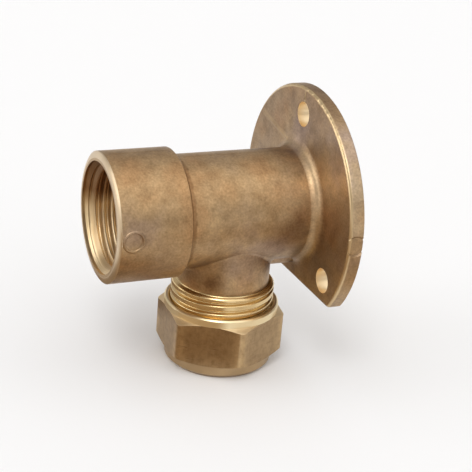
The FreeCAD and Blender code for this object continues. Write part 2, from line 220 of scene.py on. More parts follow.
world = bpy.data.worlds.new("studio")
world.use_nodes = True
bpy.context.scene.world = world
sky_tree = world.node_tree
facing = node(sky_tree, "ShaderNodeTexCoord", {})
height = node(sky_tree, "ShaderNodeSeparateXYZ", {"Vector": facing.outputs["Generated"]}).outputs["Z"]
sky = mixed(sky_tree, height, SKY_HORIZON, SKY_TOP)
low = ramped(sky_tree, height, WALL_END, WALL_FULL)
room = mixed(sky_tree, low, sky, WALL_WHITE)
sky_tree.links.new(room, sky_tree.nodes["Background"].inputs["Color"])
print(f"floor at {FLOOR_Z / MM:.2f} mm, sky from {SKY_HORIZON[0]} to {SKY_TOP[0]}")

# %% [markdown]
# ## Lamps and cards
#
# Three sun lamps stand for soft boxes: a very broad one overhead, a smaller one over the
# camera's shoulder that draws the bright line in each fillet, and a broad low window in front
# that lights the edges of mouth and flange. A sun lamp doesn't fade with distance, so the floor
# stays even. Shiny metal shows its shape only where bright and dark meet on it. Three cards
# lie on this floor, where only reflections see them, and stand for shade on the floor: they are
# painted shade in the metal's reflections. A brown one in front and a tan one to the right
# darken and warm the undersides, and a dark one to the left gives the threads their dark side.

# %% Lamps and cards
# Name, where it shines from, width in degrees and strength
LAMPS = [
    ("overhead", (0.46, 0.05, 0.88), 90, 0.95),
    ("shoulder", (0.50, -0.35, 0.79), 22, 0.6),
    ("window", (-0.25, -0.93, 0.24), 50, 0.95),
]
# Name, inner and outer radius about the branch, first and last angle in degrees, and colour
# Sheets that only reflections see: painted shade standing for shade on the floor round the fitting
SHADE_CARDS = [
    ("front_shade_card", 17 * MM, 220 * MM, -98, -16, (0.40, 0.29, 0.185, 1)),
    ("right_shade_card", 42 * MM, 130 * MM, 5, 48, (0.50, 0.40, 0.29, 1)),
    ("left_shade_card", 28 * MM, 64 * MM, -215, -98, (0.28, 0.21, 0.145, 1)),
]
CARD_LIFT = 0.1 * MM
CARD_STEPS = 12

for name, from_where, degrees, strength in LAMPS:
    lamp = bpy.data.lights.new(name, "SUN")
    lamp.energy = strength
    lamp.angle = math.radians(degrees)
    lamp_object = bpy.data.objects.new(name, lamp)
    lamp_object.rotation_mode = "QUATERNION"
    lamp_object.rotation_quaternion = Vector(from_where).to_track_quat("Z", "Y")
    bpy.context.scene.collection.objects.link(lamp_object)


def floor_arc(radius, first, last):
    """Points just above the floor, round the branch axis between two angles in degrees."""
    angles = [math.radians(first + (last - first) * step / CARD_STEPS) for step in range(CARD_STEPS + 1)]
    level = FLOOR_Z + CARD_LIFT
    return [(radius * math.cos(angle), BRANCH_Y + radius * math.sin(angle), level) for angle in angles]


for name, near_r, far_r, first, last, colour in SHADE_CARDS:
    card_outline = floor_arc(far_r, first, last) + floor_arc(near_r, last, first)
    shade_card = sheet_on_floor(name, card_outline, colour)
    shade_card.visible_camera = False
    shade_card.visible_diffuse = False
    shade_card.visible_shadow = False
    shade_card.visible_transmission = False
print("lamps:", [lamp[0] for lamp in LAMPS], "cards:", [shade_card[0] for shade_card in SHADE_CARDS])

# %% [markdown]
# ## Forged skin
#
# The body was pressed hot in a die and then cleaned with grit. It has a dull satin skin with
# brown, golden and greyish patches from the heat, and no polish. Four scales of noise make
# it: broad patches of colour, a mottling of a few millimetres, a soft speckle as fine as the
# grit, and a shallow bump, so that the light breaks up on it.

# %% The forged finish
FORGED_TONES = [
    (0.34, (0.385, 0.266, 0.174, 1)),
    (0.46, (0.422, 0.285, 0.157, 1)),
    (0.56, (0.425, 0.278, 0.142, 1)),
    (0.68, (0.425, 0.254, 0.121, 1)),
]
MOTTLE_TONES = [(0.32, (0.84, 0.83, 0.82, 1)), (0.50, (1.0, 1.0, 1.0, 1)), (0.68, (1.11, 1.12, 1.13, 1))]
SPECKLE_TONES = [(0.30, (0.86, 0.855, 0.85, 1)), (0.50, (1.0, 1.0, 1.0, 1)), (0.70, (1.15, 1.15, 1.15, 1))]
# Each noise: bumps to the metre, detail and, where it isn't the usual one, roughness
PATCH_GRAIN = (90, 3.0)
MOTTLE_GRAIN = (430, 3.0, 0.6)
SPECKLE_GRAIN = (2300, 2.0)
STAIN_AND_SHADE_GRAIN = (240, 3.0)
WAVE_GRAIN = (260, 2.0)
WAVE_DEPTH = 0.05 * MM
SAND_DEPTH = 0.012 * MM
FORGED_ROUGHNESS = (0.52, 0.36)


def new_finish(name):
    """A material with its node tree, its shader and the place of each point on the piece."""
    material = bpy.data.materials.new(name)
    material.use_nodes = True
    tree = material.node_tree
    place = node(tree, "ShaderNodeTexCoord", {}).outputs["Object"]
    return material, tree, tree.nodes["Principled BSDF"], place


def grain(tree, place, scale, detail=2.0, roughness=0.5):
    """Noise between 0 and 1, with about scale bumps to the metre."""
    made = node(tree, "ShaderNodeTexNoise", {
        "Vector": place, "Scale": scale, "Detail": detail, "Roughness": roughness,
    })
    return made.outputs["Fac"]


def tones(tree, factor, stops):
    """A run of colours along a factor."""
    ramp = node(tree, "ShaderNodeValToRGB", {"Fac": factor})
    elements = ramp.color_ramp.elements
    while len(elements) < len(stops):
        elements.new(0.5)
    for element, (position, colour) in zip(elements, stops):
        element.position = position
        element.color = colour
    return ramp.outputs["Color"]


def times(tree, first, second):
    """One colour multiplied by another."""
    return mixed(tree, 1.0, first, second, "MULTIPLY")


def between(tree, factor, low, high):
    """A factor from 0 to 1 spread between two numbers."""
    made = node(tree, "ShaderNodeMapRange", {"Value": factor, "To Min": low, "To Max": high})
    return made.outputs["Result"]


def bump(tree, height, depth, under=None):
    """A bump of a depth in metres, on top of another one if there is one."""
    inputs = {"Height": height, "Distance": depth, "Strength": 1.0}
    if under is not None:
        inputs["Normal"] = under
    return node(tree, "ShaderNodeBump", inputs).outputs["Normal"]


def as_metal(tree, shader, colour, gloss, normal):
    """Makes a shader a metal with a colour, a roughness and a bump."""
    shader.inputs["Metallic"].default_value = 1.0
    for name, output in (("Base Color", colour), ("Roughness", gloss), ("Normal", normal)):
        tree.links.new(output, shader.inputs[name])


# %% [markdown]
# Heat and handling leave their own marks on a forging: stains where it cooled unevenly, and a
# bright line where an edge is rubbed. Painted light is laid over the skin as well: patches of
# painted shade and light, a painted highlight in the hollow at the barrel's root, and painted
# shade in the corner of the step and along the trimmed lower edge of the flange. Each is laid
# over the skin by its place on the piece: a stain or patch by the distance from its middle, a
# rubbed edge, highlight or corner shade by the distance from a circle about the main axis, a
# scuff by the distance from a straight line, and the trimmed edge by its height. Noise makes
# every border ragged.

# %% Stains, worn edges and painted light
# Stains of the heat, patches of painted shade and painted light, and other darker and lighter patches:
# middle in millimetres, radius in millimetres and tone
STAINS_AND_PAINTED_LIGHT = [
    ((-17, -3, 15), 24, (0.70, 0.72, 0.81, 1)),
    ((3, -3, 20), 14, (0.66, 0.64, 0.69, 1)),
    # Painted light: the right part of the flange's face is lighter
    ((16, -3, 8), 14, (1.26, 1.42, 1.72, 1)),
    # Painted dark reflection on the front of the neck
    ((7.4, -23.3, -13), 3.1, (0.60, 0.52, 0.46, 1)),
    # Painted shade on the neck under the socket
    ((3.9, -26, -13), 4.2, (0.76, 0.70, 0.66, 1)),
    ((9.2, -16.3, -13.3), 4, (1.18, 1.14, 1.10, 1)),
    # Painted shade on the underside of the socket
    ((10, -37, -8), 6, (0.86, 0.82, 0.78, 1)),
    # Painted shade on the barrel beside the hollow at its root
    ((11.2, -7.4, 1), 3, (0.72, 0.64, 0.60, 1)),
    ((11, -26, 2), 5, (1.14, 1.18, 1.22, 1)),
    ((-1.5, -4, 12.4), 3, (1.45, 1.50, 1.55, 1)),
    # Painted dark reflection of the flange on the lower side of the barrel
    ((11, -9.5, -3), 6, (0.62, 0.54, 0.50, 1)),
    ((14, -3, -9), 10, (0.88, 0.94, 1.05, 1)),
    ((3, -9, -12), 3.5, (1.30, 1.34, 1.36, 1)),
]
# The worn front edge of the flange, and a painted highlight in the hollow at the barrel's root: radius,
# place along the main axis and reach in millimetres, how bare and how smooth
RUBBED_AND_HIGHLIGHTS = [
    (23.55, -2.82, 0.50, 1.0, 1.0),
    # Painted highlight: the hollow at the barrel's root is lighter and smoother
    (11.95, -3.75, 0.75, 0.15, 0.35),
]
# Scuffs on the flange: both ends and reach in millimetres, and how bare they are
SCUFFS = [
    ((-17.6, -3.1, 13.5), (-6.0, -3.1, 11.4), 0.95, 0.20),
    ((0, -3.1, 21.2), (0, -3.1, 23.4), 0.35, 0.45),
]
# Bare brass of the worn edge and the scuffs, and the colour of the painted highlight
BARE_AND_HIGHLIGHT_TONE = (0.62, 0.46, 0.26, 1)
RUBBED_ROUGHNESS = 0.30
# Painted shade in the corner of the step: radius, place along the main axis and reach in millimetres
STEP_SHADE = (11.30, -29.20, 0.80)
STEP_SHADE_TONE = (0.70, 0.65, 0.62, 1)
# Painted shade along the trimmed lower edge of the flange: tone, and where it begins and is full, in height
# and from the wall
TRIM_SHADE_TONE = (0.45, 0.42, 0.42, 1)
TRIM_HEIGHTS = (-14.9 * MM, -15.3 * MM)
TRIM_REACH = (-5 * MM, -4 * MM)
# Borders, as shares of the reach: how ragged, where it ends and where it is full
EDGE_BORDER = (1.0, 1.45, 0.9)
STAIN_AND_SHADE_BORDER = (0.8, 1.4, 0.5)


def ragged_ramp(tree, value, ragged, amount, zero_at, one_at):
    """A smooth factor along a value that a noise has made uneven."""
    uneven = node(tree, "ShaderNodeMath", {0: ragged, 1: amount, 2: value}, operation="MULTIPLY_ADD")
    return ramped(tree, uneven.outputs["Value"], zero_at, one_at, "SMOOTHSTEP")


def within(tree, apart, ragged, reach, border):
    """1 close by and 0 out of reach, with a border that a noise makes ragged."""
    return ragged_ramp(tree, apart, ragged, *(reach * MM * share for share in border))


def ring_place(tree, place, centre, axis):
    """The distance from an axis and the place along it, as X and Y."""
    offset = vector_math(tree, "SUBTRACT", place, centre)
    across = tuple(1.0 - abs(part) for part in axis)
    radius = vector_math(tree, "LENGTH", vector_math(tree, "MULTIPLY", offset, across), result="Value")
    along = vector_math(tree, "DOT_PRODUCT", offset, axis, "Value")
    return node(tree, "ShaderNodeCombineXYZ", {"X": radius, "Y": along}).outputs["Vector"]


def near_line(tree, place, ragged, start, end, reach):
    """1 along a straight line between two points, and 0 out of its reach."""
    first = Vector(start) * MM
    run = Vector(end) * MM - first
    offset = vector_math(tree, "SUBTRACT", place, first)
    share = vector_math(tree, "DOT_PRODUCT", offset, run / run.length_squared, "Value")
    held = node(tree, "ShaderNodeClamp", {"Value": share}).outputs["Result"]
    nearest = node(tree, "ShaderNodeVectorMath", {0: run, "Scale": held}, operation="SCALE")
    apart = vector_math(tree, "DISTANCE", offset, nearest.outputs["Vector"], "Value")
    return within(tree, apart, ragged, reach, EDGE_BORDER)


def near_circle(tree, place, ragged, radius, along, reach):
    """1 along a circle about the main axis, and 0 out of its reach."""
    section = ring_place(tree, place, MAIN_CENTRE, MAIN_AXIS)
    apart = vector_math(tree, "DISTANCE", section, (radius * MM, along * MM, 0.0), "Value")
    return within(tree, apart, ragged, reach, EDGE_BORDER)


def shaded_trim(tree, place, colour):
    """A colour with painted shade along the trimmed lower edge of the flange."""
    parts = node(tree, "ShaderNodeSeparateXYZ", {"Vector": place}).outputs
    low = ramped(tree, parts["Z"], *TRIM_HEIGHTS)
    on_flange = ramped(tree, parts["Y"], *TRIM_REACH)
    both = node(tree, "ShaderNodeMath", {0: low, 1: on_flange}, operation="MULTIPLY").outputs["Value"]
    return mixed(tree, both, colour, TRIM_SHADE_TONE, "MULTIPLY")


def with_stains_and_painted_light(tree, place, colour, ragged):
    """A colour with the stains and the patches of painted shade and light laid over it, each with an edge
    that a noise makes ragged.
    """
    for middle, reach, tone in STAINS_AND_PAINTED_LIGHT:
        apart = vector_math(tree, "DISTANCE", place, Vector(middle) * MM, "Value")
        colour = mixed(tree, within(tree, apart, ragged, reach, STAIN_AND_SHADE_BORDER), colour, tone, "MULTIPLY")
    return colour


def forged_finish():
    """The skin of the forging with its stains, scuffs and worn edge, and its painted shade and painted
    highlights.
    """
    material, tree, shader, place = new_finish("forged_skin")
    patches = tones(tree, grain(tree, place, *PATCH_GRAIN), FORGED_TONES)
    mottle_noise = grain(tree, place, *MOTTLE_GRAIN)
    speckle_noise = grain(tree, place, *SPECKLE_GRAIN)
    mottled = times(tree, patches, tones(tree, mottle_noise, MOTTLE_TONES))
    speckled = times(tree, mottled, tones(tree, speckle_noise, SPECKLE_TONES))
    colour = with_stains_and_painted_light(tree, place, speckled, grain(tree, place, *STAIN_AND_SHADE_GRAIN))
    # Painted shade where the barrel meets the step of the socket
    step_shaded = mixed(tree, near_circle(tree, place, mottle_noise, *STEP_SHADE), colour, STEP_SHADE_TONE, "MULTIPLY")
    colour = shaded_trim(tree, place, step_shaded)
    for start, end, reach, bareness in SCUFFS:
        scuffed = between(tree, near_line(tree, place, mottle_noise, start, end, reach), 0.0, bareness)
        colour = mixed(tree, scuffed, colour, BARE_AND_HIGHLIGHT_TONE)
    gloss = between(tree, mottle_noise, *FORGED_ROUGHNESS)
    # The worn edge of the flange, and the painted highlight in the hollow at the root
    for radius, along, reach, bareness, smoothness in RUBBED_AND_HIGHLIGHTS:
        lightened_band = near_circle(tree, place, mottle_noise, radius, along, reach)
        colour = mixed(tree, between(tree, lightened_band, 0.0, bareness), colour, BARE_AND_HIGHLIGHT_TONE)
        smooth = between(tree, lightened_band, 0.0, smoothness)
        smoother = node(tree, "ShaderNodeMix", {0: smooth, 2: gloss, 3: RUBBED_ROUGHNESS}, data_type="FLOAT")
        gloss = smoother.outputs[0]
    wavy = bump(tree, grain(tree, place, *WAVE_GRAIN), WAVE_DEPTH)
    as_metal(tree, shader, colour, gloss, bump(tree, speckle_noise, SAND_DEPTH, wavy))
    return material


forged_skin = forged_finish()
print("made", forged_skin.name)

# %% [markdown]
# ## Turned brass
#
# Threads, bores, the mouth of the socket and the nut's collars were cut on a lathe. They
# are bright and yellow, with fine rings left by the tool. A ring is the same all the way
# round its axis, so the noise is fed with the distance from the axis and the distance
# along it, and not with the point itself. Socket and branch have different axes and were
# cut with different care, so each gets a finish of its own from one function. The inside
# of the socket is also banded by the tool, and its upper half is painted darker brown, a
# painted shade on the wall that faces down. Its deep threads are painted paler than its
# mouth, a painted light in the shaded bore.

# %% The turned finish
BRIGHT_TONES = [(0.30, (0.66, 0.48, 0.235, 1)), (0.70, (0.79, 0.60, 0.32, 1))]
MOUTH_TONES = [(0.30, (0.68, 0.52, 0.30, 1)), (0.70, (0.82, 0.65, 0.41, 1))]
LIP_TONES = [(0.30, (0.59, 0.455, 0.295, 1)), (0.70, (0.70, 0.555, 0.375, 1))]
COLLAR_TONES = [(0.30, (0.79, 0.63, 0.365, 1)), (0.70, (0.91, 0.75, 0.465, 1))]
SLOPE_TONES = [(0.30, (0.68, 0.515, 0.30, 1)), (0.70, (0.78, 0.61, 0.37, 1))]
DULL_TONES = [(0.30, (0.40, 0.275, 0.150, 1)), (0.70, (0.50, 0.355, 0.200, 1))]
PALE_TONES = [(0.30, (0.86, 0.665, 0.40, 1)), (0.70, (0.94, 0.76, 0.50, 1))]
BAND_TONES = [(0.36, (0.66, 0.60, 0.54, 1)), (0.50, (0.95, 0.93, 0.90, 1)), (0.64, (1.06, 1.06, 1.05, 1))]
# Painted shade on the upper inside of the socket: tone, ragged reach, and heights where it begins and is
# full
UPPER_SHADE_TONE = (0.44, 0.335, 0.28, 1)
UPPER_SHADE_RAGGED = 5 * MM
UPPER_SHADE_FROM, UPPER_SHADE_FULL = 0.8 * MM, 4.4 * MM
BAND_GRAIN = (1300, 2.0)
RING_GRAIN = (4200, 2.0)
TURNED_GRAIN = (160, 3.0)
TURNED_GLOSS_GRAIN = (900, 2.0)
RING_DEPTH = 0.006 * MM


def banded_and_shaded(tree, place, ringed, blotch_noise, colour):
    """A colour with bands left by the tool, and painted shade towards the top of the fitting."""
    banded = times(tree, colour, tones(tree, grain(tree, ringed, *BAND_GRAIN), BAND_TONES))
    level = node(tree, "ShaderNodeSeparateXYZ", {"Vector": place}).outputs["Z"]
    dark = ragged_ramp(tree, level, blotch_noise, UPPER_SHADE_RAGGED, UPPER_SHADE_FROM, UPPER_SHADE_FULL)
    return mixed(tree, dark, banded, UPPER_SHADE_TONE, "MULTIPLY")


def turned_finish(name, centre, axis, colours, smoothest, roughest, shaded_on_top=False):
    """Brass with tool rings about an axis through a centre."""
    material, tree, shader, place = new_finish(name)
    ringed = ring_place(tree, place, centre, axis)
    blotch_noise = grain(tree, place, *TURNED_GRAIN)
    colour = tones(tree, blotch_noise, colours)
    if shaded_on_top:
        colour = banded_and_shaded(tree, place, ringed, blotch_noise, colour)
    gloss = between(tree, grain(tree, place, *TURNED_GLOSS_GRAIN), smoothest, roughest)
    as_metal(tree, shader, colour, gloss, bump(tree, grain(tree, ringed, *RING_GRAIN), RING_DEPTH))
    return material


socket_cut = turned_finish("turned_socket", MAIN_CENTRE, MAIN_AXIS, MOUTH_TONES, 0.28, 0.42, shaded_on_top=True)
# The deep threads are paler than the mouth: painted light where the bore lies in shade
thread_cut = turned_finish("turned_thread", MAIN_CENTRE, MAIN_AXIS, PALE_TONES, 0.36, 0.48, shaded_on_top=True)
branch_cut = turned_finish("turned_branch", BRANCH_CENTRE, BRANCH_AXIS, BRIGHT_TONES, 0.17, 0.30)
lip_cut = turned_finish("turned_lip", MAIN_CENTRE, MAIN_AXIS, LIP_TONES, 0.26, 0.38)
rim_cut = turned_finish("turned_rim", MAIN_CENTRE, MAIN_AXIS, DULL_TONES, 0.34, 0.48)
drilled = turned_finish("drilled_hole", MAIN_CENTRE, MAIN_AXIS, PALE_TONES, 0.30, 0.42)
nut_collar_cut = turned_finish("turned_nut_collar", BRANCH_CENTRE, BRANCH_AXIS, COLLAR_TONES, 0.26, 0.38)
nut_slope_cut = turned_finish("turned_nut_slope", BRANCH_CENTRE, BRANCH_AXIS, SLOPE_TONES, 0.46, 0.58)
nut_end_cut = turned_finish("turned_nut_end", BRANCH_CENTRE, BRANCH_AXIS, DULL_TONES, 0.28, 0.42)
body_finishes = (forged_skin, socket_cut, branch_cut, drilled, lip_cut, rim_cut, thread_cut)
print("made", [finish.name for finish in body_finishes[1:] + (nut_collar_cut, nut_slope_cut, nut_end_cut)])

# %% [markdown]
# ## Drawn bar
#
# The nut is cut from hexagon bar that was drawn through a die, so its flats have faint
# streaks along the bar and a few scratches from handling. Noise that is squeezed across
# the bar and stretched along it gives the streaks, and the same trick the other way round,
# kept only where it is strongest, gives the scratches. The corners get a painted highlight,
# and a corner is simply where the bar reaches furthest from its axis.

# %% The drawn finish
DRAWN_TONES = [(0.30, (0.350, 0.232, 0.118, 1)), (0.70, (0.420, 0.284, 0.147, 1))]
PIT_TONES = [(0.30, (0.80, 0.78, 0.76, 1)), (0.50, (1.0, 1.0, 1.0, 1)), (0.70, (1.14, 1.15, 1.16, 1))]
SCRATCH_TONE = (0.74, 0.69, 0.64, 1)
# Painted highlight on the rounded corners of the nut
CORNER_HIGHLIGHT_TONE = (1.28, 1.31, 1.33, 1)
CORNER_FROM, CORNER_FULL = 12.25 * MM, 12.9 * MM
STREAK_TONES = [(0.30, (0.96, 0.955, 0.95, 1)), (0.50, (1.0, 1.0, 1.0, 1)), (0.70, (1.03, 1.03, 1.03, 1))]
STREAK_STRETCH = (1.0, 1.0, 0.03)
SCRATCH_STRETCH = (0.10, 0.10, 1.0)
SCRATCH_FROM, SCRATCH_FULL = 0.66, 0.72
STREAK_GRAIN = (2600, 3.0)
SCRATCH_GRAIN = (2400, 2.0)
DRAWN_GRAIN = (200, 3.0)
PIT_GRAIN = (900, 4.0, 0.65)
DENT_GRAIN = (900, 3.0)
DRAWN_GLOSS_GRAIN = (500, 3.0)
STREAK_DEPTH = 0.002 * MM
DENT_DEPTH = 0.012 * MM
SCRATCH_DEPTH = 0.012 * MM
DRAWN_ROUGHNESS = (0.28, 0.42)


def drawn_finish():
    """Hexagon bar with pits, streaks and scratches, and with a painted highlight along its corners."""
    material, tree, shader, place = new_finish("drawn_bar")
    streaks = grain(tree, vector_math(tree, "MULTIPLY", place, STREAK_STRETCH), *STREAK_GRAIN)
    scratches = grain(tree, vector_math(tree, "MULTIPLY", place, SCRATCH_STRETCH), *SCRATCH_GRAIN)
    patches = tones(tree, grain(tree, place, *DRAWN_GRAIN), DRAWN_TONES)
    pitted = times(tree, patches, tones(tree, grain(tree, place, *PIT_GRAIN), PIT_TONES))
    streaked = times(tree, pitted, tones(tree, streaks, STREAK_TONES))
    scored = ramped(tree, scratches, SCRATCH_FROM, SCRATCH_FULL)
    marked = mixed(tree, scored, streaked, SCRATCH_TONE, "MULTIPLY")
    ringed = ring_place(tree, place, BRANCH_CENTRE, BRANCH_AXIS)
    radius = node(tree, "ShaderNodeSeparateXYZ", {"Vector": ringed}).outputs["X"]
    # Painted highlight: lighter where the bar reaches furthest from its axis
    lightened_band = mixed(tree, ramped(tree, radius, CORNER_FROM, CORNER_FULL), marked, CORNER_HIGHLIGHT_TONE, "MULTIPLY")
    gloss = between(tree, grain(tree, place, *DRAWN_GLOSS_GRAIN), *DRAWN_ROUGHNESS)
    lined = bump(tree, streaks, STREAK_DEPTH)
    dented = bump(tree, grain(tree, place, *DENT_GRAIN), DENT_DEPTH, lined)
    as_metal(tree, shader, lightened_band, gloss, bump(tree, scored, SCRATCH_DEPTH, dented))
    return material


drawn_bar = drawn_finish()
print("made", drawn_bar.name)

# %% [markdown]
# ## Copies that can be worked on
#
# The frame's own meshes stay as they are. To cut a thread into one, its mesh is copied and
# welded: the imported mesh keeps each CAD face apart, and a Boolean cut needs one closed skin.
# The tools of the cut are small closed meshes too, swept through a row of sections.

# %% Helpers for working copies and their tools
WELD = 1e-7


def new_piece(name, shape):
    """An object with the mesh of a bmesh, which is freed."""
    mesh = bpy.data.meshes.new(name)
    shape.to_mesh(mesh)
    shape.free()
    piece = bpy.data.objects.new(name, mesh)
    bpy.context.scene.collection.objects.link(piece)
    return piece


def working_copy(node_name, piece_name):
    """A welded copy of a CAD node, as a new piece."""
    shape = bmesh.new()
    shape.from_mesh(frame["nodes"][node_name].data)
    bmesh.ops.remove_doubles(shape, verts=shape.verts, dist=WELD)
    return new_piece(piece_name, shape)


def swept(name, sections, closed=False):
    """A closed mesh through a row of sections with equal numbers of points, capped or run into a ring."""
    shape = bmesh.new()
    rows = [[shape.verts.new(point) for point in section] for section in sections]
    count = len(rows[0])
    if not closed:
        shape.faces.new(rows[0])
        shape.faces.new(rows[-1])
    for row, next_row in zip(rows, rows[1:] + rows[:1] if closed else rows[1:]):
        for corner in range(count):
            following = (corner + 1) % count
            shape.faces.new((row[corner], row[following], next_row[following], next_row[corner]))
    bmesh.ops.recalc_face_normals(shape, faces=shape.faces)
    bmesh.ops.triangulate(shape, faces=shape.faces)
    return new_piece(name, shape)


def settle(piece):
    """Gives a piece the mesh that its modifiers make, and drops them."""
    graph = bpy.context.evaluated_depsgraph_get()
    made = bpy.data.meshes.new_from_object(piece.evaluated_get(graph))
    piece.modifiers.clear()
    piece.data = made


def combine(piece, tool, operation):
    """Cuts a tool out of a piece, or joins it to the piece, and removes the tool."""
    boolean = piece.modifiers.new("combine", "BOOLEAN")
    boolean.operation = operation
    boolean.solver = "MANIFOLD"
    boolean.object = tool
    settle(piece)
    bpy.data.objects.remove(tool)


def shade(piece, sharp_angle):
    """Smooth shading with sharp edges past an angle, led by the larger faces."""
    piece.data.shade_smooth()
    piece.data.set_sharp_from_angle(angle=sharp_angle)
    weighted = piece.modifiers.new("weighted", "WEIGHTED_NORMAL")
    weighted.keep_sharp = True
    settle(piece)


body = working_copy("elbow_body", "elbow_skin")
print(f"the body's copy has {len(body.data.polygons)} faces")

# %% [markdown]
# ## Cutting the threads
#
# A half inch pipe thread has a V of 55 degrees and a pitch of 1.814 mm. It could be painted
# as a bump, but its turns show in the outline, so it is cut. The cutter is a narrow V swept
# along a helix, with its shoulders eased so that broad rounded crests are left. Its depth is
# counted from the crest, inwards for the male thread and outwards for the female one, and at
# the last part of a turn the cutter backs out of the metal, as a real tool does.

# %% The thread cutter
PITCH = 1.814 * MM
THREAD_HEIGHT = 1.162 * MM
STEPS_A_TURN = 144
FADE_TURNS = 0.35
AIR = 0.2
# One side of each groove in millimetres: depth below the crest and half width, from the air to the root
MALE_GROOVE = [
    (-AIR, 0.62), (0.0, 0.58), (0.02, 0.50), (0.07, 0.42),
    (0.16, 0.35), (0.50, 0.20), (0.60, 0.12), (0.63, 0.05),
]
FEMALE_GROOVE = [
    (-AIR, 0.84), (0.0, 0.80), (0.05, 0.72), (0.14, 0.64), (0.98, 0.26), (1.11, 0.14), (1.16, 0.05),
]


def thread_cutter(name, groove, crest_r, inwards, start, turns, start_angle, to_place):
    """A coil that cuts a right-hand groove about a local Z axis, set in place by a matrix."""
    lower = [(depth * MM, -half * MM) for depth, half in groove]
    upper = [(depth, -offset) for depth, offset in reversed(lower)]
    way_out = (groove[-1][0] + AIR / 2) * MM
    steps = round(turns * STEPS_A_TURN)
    sections = []
    for step in range(steps + 1):
        turn = turns * step / steps
        angle = start_angle + 2 * math.pi * turn
        fade = max(0.0, 1 - (turns - turn) / FADE_TURNS)
        lift = fade * fade * way_out
        outward = Vector((math.cos(angle), math.sin(angle), 0))
        section = []
        for depth, offset in lower + upper:
            radius = crest_r - inwards * (depth - lift)
            section.append(to_place @ (outward * radius + Vector((0, 0, start + PITCH * turn + offset))))
        sections.append(section)
    return swept(name, sections)


# %% [markdown]
# The male thread starts below the free end of the branch and fades out under the neck. Its
# turn is set so that the grooves fall where the photograph shows them on the near side. The
# female thread starts in front of the mouth and fades out before the end of its bore.

# %% Cut both threads into the body
MALE_CREST_R = CORE_R + THREAD_HEIGHT
MALE_GROOVE_Z = -16.65 * MM
MALE_GROOVE_ANGLE = AZIMUTH - math.pi / 2
MALE_START_Z = BRANCH_END_Z - 0.9 * MM
MALE_TOP_Z = -15.75 * MM
FEMALE_START = 0.9 * MM
FEMALE_RUNOUT = 0.4 * MM
FEMALE_START_ANGLE = math.radians(83.5)
MOUTH_DEPTH = -MOUTH_Y - abs(mounts["socket_thread"]["pos_m"][1]) - CORE_LENGTH / 2

male_turns = (MALE_TOP_Z - MALE_START_Z) / PITCH
male_start_angle = MALE_GROOVE_ANGLE + 2 * math.pi * (MALE_START_Z - MALE_GROOVE_Z) / PITCH
on_branch = Matrix.Translation((0, BRANCH_Y, 0))
male_cutter = thread_cutter(
    "male_cutter", MALE_GROOVE, MALE_CREST_R, 1, MALE_START_Z, male_turns, male_start_angle, on_branch,
)
combine(body, male_cutter, "DIFFERENCE")

female_turns = (FEMALE_START + MOUTH_DEPTH + CORE_LENGTH - FEMALE_RUNOUT) / PITCH
into_socket = Matrix.Translation((0, MOUTH_Y - FEMALE_START, 0)) @ Matrix.Rotation(-math.pi / 2, 4, "X")
female_cutter = thread_cutter(
    "female_cutter", FEMALE_GROOVE, CORE_R, -1, 0, female_turns, FEMALE_START_ANGLE, into_socket,
)
combine(body, female_cutter, "DIFFERENCE")
print(f"male thread {male_turns:.1f} turns, female {female_turns:.1f}")
print(f"body has {len(body.data.polygons)} faces")

# %% [markdown]
# The lip of the socket isn't flat: the lathe tool dished it away towards its outer edge. A
# ring whose section follows a parabola takes that metal off. The slope grows outwards, so
# the lip catches the light of the front window in one band and ends in a crisp edge.

# %% Dish the lip of the socket
SOCKET_R = 12.75 * MM
LIP_WIDTH = 1.5 * MM
LIP_DEPTH = 0.5 * MM
LIP_STEPS = 10
RING_STEPS = 180
BEYOND = 0.5 * MM

lip_curve = []
for step in range(LIP_STEPS + 1):
    share = step / LIP_STEPS
    lip_curve.append((SOCKET_R - LIP_WIDTH * (1 - share), MOUTH_Y + LIP_DEPTH * share ** 2))
lip_start_r = lip_curve[0][0]
lip_end_y = lip_curve[-1][1]
lip_section = lip_curve + [
    (SOCKET_R + BEYOND, lip_end_y + BEYOND * 2 * LIP_DEPTH / LIP_WIDTH),
    (SOCKET_R + BEYOND, MOUTH_Y - BEYOND),
    (lip_start_r, MOUTH_Y - BEYOND),
]
lip_rows = []
for step in range(RING_STEPS):
    angle = 2 * math.pi * step / RING_STEPS
    lip_rows.append([(radius * math.cos(angle), y, radius * math.sin(angle)) for radius, y in lip_section])
combine(body, swept("lip_cutter", lip_rows, closed=True), "DIFFERENCE")
print(f"lip dished over {LIP_WIDTH / MM:.2f} mm, body has {len(body.data.polygons)} faces")

# %% [markdown]
# ## Marks of the forging
#
# The die leaves its marks on a forging. Two round flats stand where its pins pushed the
# piece out, on the socket and on the flange's rim. They are in the solid already, and are
# cut again here with a finer circle, so that their edge is crisp. On the socket some metal
# crept up round the pin, so a thin raised ring follows the circle on the round surface. On
# the rim the pin's edge dug in, so a fine groove follows the circle there.

# %% Round flats left by the die's pins
PIN_R = 1.95 * MM
PIN_STEPS = 72
PIN_REACH = 1.5 * MM
# Where each flat lies: its level along X and its middle along Y
SOCKET_PIN_X, SOCKET_PIN_Y = 12.44 * MM, MOUTH_Y + 2.85 * MM
RIM_PIN_X, RIM_PIN_Y = 23.48 * MM, FLANGE_FACE_Y / 2
PIN_FLATS = [("socket_pin", SOCKET_PIN_X, SOCKET_PIN_Y), ("rim_pin", RIM_PIN_X, RIM_PIN_Y)]
# Section of the raised ring: millimetres across and above the round surface
PIN_RING = [(-0.38, -0.40), (-0.28, 0.01), (-0.08, 0.09), (0.08, 0.09), (0.28, 0.01), (0.38, -0.40)]
# Section of the groove on the rim: millimetres across and above its flat
RIM_GROOVE = [(-0.22, 0.60), (-0.16, -0.04), (0.0, -0.22), (0.16, -0.04), (0.22, 0.60)]


